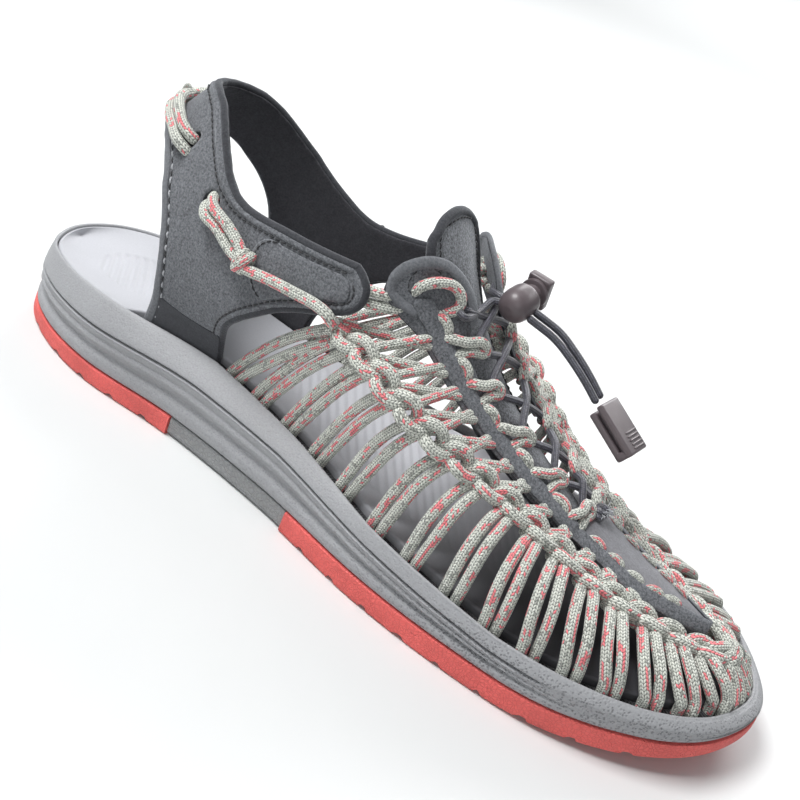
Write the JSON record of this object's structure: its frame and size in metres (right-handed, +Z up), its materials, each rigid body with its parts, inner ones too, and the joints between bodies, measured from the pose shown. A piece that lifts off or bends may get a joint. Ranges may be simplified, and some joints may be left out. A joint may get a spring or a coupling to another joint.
{
  "type": "closed-toe woven cord sandal",
  "caption": "Closed-toe sandal woven from braided cord, with a sling heel strap, elastic lace with a push-button lock, and a two-part moulded sole.",
  "frame": {"origin": "on the floor plane under the middle of the sole", "axes": "+X to the toe, +Y to the big-toe side, +Z up"},
  "size_m": [0.29, 0.0966, 0.1086],
  "materials": {
    "coral_rubber": "matt, fine leather-like grain",
    "grey_rubber": "matt, grained",
    "grey_foam": "moulded foam, satin, paler on the bevel",
    "pale_foam": "moulded foam, matt",
    "braided_cord": "braided, grey-green with coral flecks",
    "microsuede": "short nap, mottled",
    "elastic_lace": "braided, slight sheen",
    "brown_plastic": "satin"
  },
  "bodies": {
    "shoe": {"outsole_heel": "coral_rubber", "outsole_forefoot": "coral_rubber", "outsole_arch": "grey_rubber", "midsole": "grey_foam", "footbed": "pale_foam", "cord_upper": "braided_cord", "heel_cord_lateral": "braided_cord", "heel_cord_medial": "braided_cord", "heel_cord_back": "braided_cord", "vamp_eyestay": "microsuede", "tongue": "microsuede", "heel_strap": "microsuede", "elastic_lace": "elastic_lace", "lace_tail_a": "elastic_lace", "lace_tail_b": "elastic_lace", "lock_body": "brown_plastic", "end_clip": "brown_plastic"},
    "button": {"lock_button": "brown_plastic"}
  },
  "joints": [
    {"name": "button_press", "type": "slide", "parent": "shoe", "child": "button", "axis": [0.0502, 0.974, 0.2209], "range_m": [-0.003, 0], "stiffness_N_per_m": 200, "springref_m": 0.001}
  ]
}
